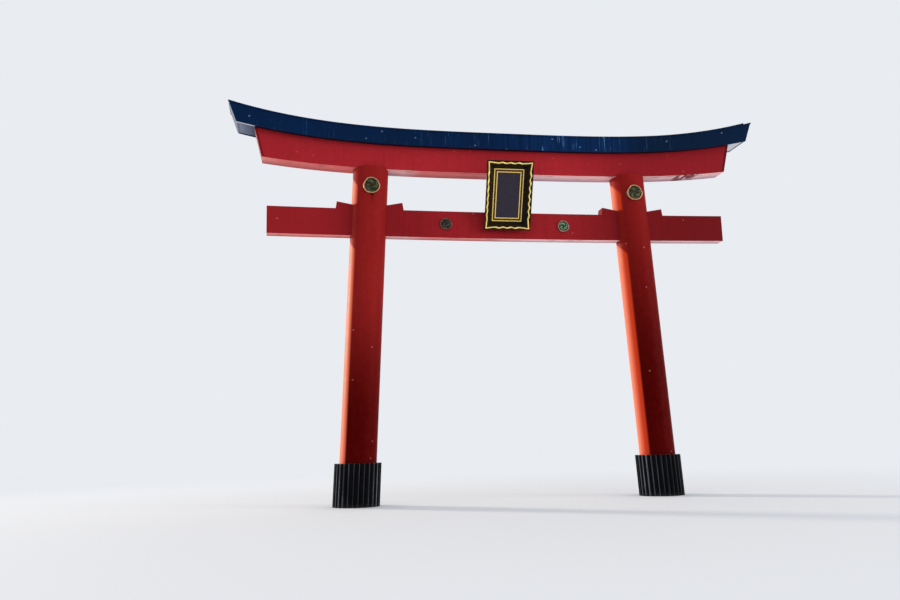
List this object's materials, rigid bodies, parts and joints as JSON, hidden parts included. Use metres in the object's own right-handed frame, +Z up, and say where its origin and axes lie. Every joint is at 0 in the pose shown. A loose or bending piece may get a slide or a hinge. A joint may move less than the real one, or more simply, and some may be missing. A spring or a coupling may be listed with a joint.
{
  "type": "torii gate",
  "caption": "Large torii gate for a road: inward-leaning round pillars with ribbed foot sleeves, wedged tie beam, upward-curved double lintel and a forward-leaning bare plaque.",
  "frame": {"origin": "on the ground, midway between the two pillar centres", "axes": "+X along the gate towards the picture's right, the front with the plaque faces -Y, +Z up"},
  "size_m": [17.166, 1.92, 12.3686],
  "materials": {
    "vermilion_paint": "satin vermilion paint on steel, weathered",
    "dark_blue_paint": "satin blue-black paint with rain streaks",
    "black_paint": "black paint on ribbed sleeves",
    "black_lacquer": "black lacquer on boards",
    "slate_lacquer": "dull slate lacquer, bare",
    "gold_leaf": "gilded, satin",
    "weathered_rim": "weathered pale bronze",
    "verdigris": "bronze with verdigris",
    "dark_bronze": "dark weathered bronze"
  },
  "bodies": {
    "root": {"pillar_left": "vermilion_paint", "pillar_right": "vermilion_paint", "sleeve_left": "black_paint", "sleeve_right": "black_paint", "nuki_tie_beam": "vermilion_paint", "wedge_left_outer": "vermilion_paint", "wedge_left_inner": "vermilion_paint", "wedge_right_inner": "vermilion_paint", "wedge_right_outer": "vermilion_paint", "gakuzuka_strut": "vermilion_paint", "shimaki_lower_lintel": "vermilion_paint", "shimaki_end_left": "vermilion_paint", "shimaki_end_right": "vermilion_paint", "kasagi_core": "dark_blue_paint", "kasagi_face_front": "dark_blue_paint", "kasagi_face_back": "dark_blue_paint", "kasagi_end_left": "dark_blue_paint", "kasagi_end_right": "dark_blue_paint", "kasagi_roof": "dark_blue_paint", "kasagi_ridge_cap": "dark_blue_paint", "plaque_panel": "black_lacquer", "plaque_field": "slate_lacquer", "plaque_frame": "black_lacquer", "plaque_wavy_rim": "gold_leaf", "plaque_line_outer": "gold_leaf", "plaque_line_inner": "gold_leaf", "plaque_stays": "vermilion_paint", "plaque_rests": "vermilion_paint", "crest_left_drum": "dark_bronze", "crest_left_rim": "gold_leaf", "crest_left_swirl": "verdigris", "crest_right_drum": "dark_bronze", "crest_right_rim": "gold_leaf", "crest_right_swirl": "verdigris", "disc_left": "dark_bronze", "disc_left_rim": "weathered_rim", "disc_left_swirl": "verdigris", "disc_right": "dark_bronze", "disc_right_rim": "weathered_rim", "disc_right_swirl": "verdigris"}
  },
  "joints": []
}
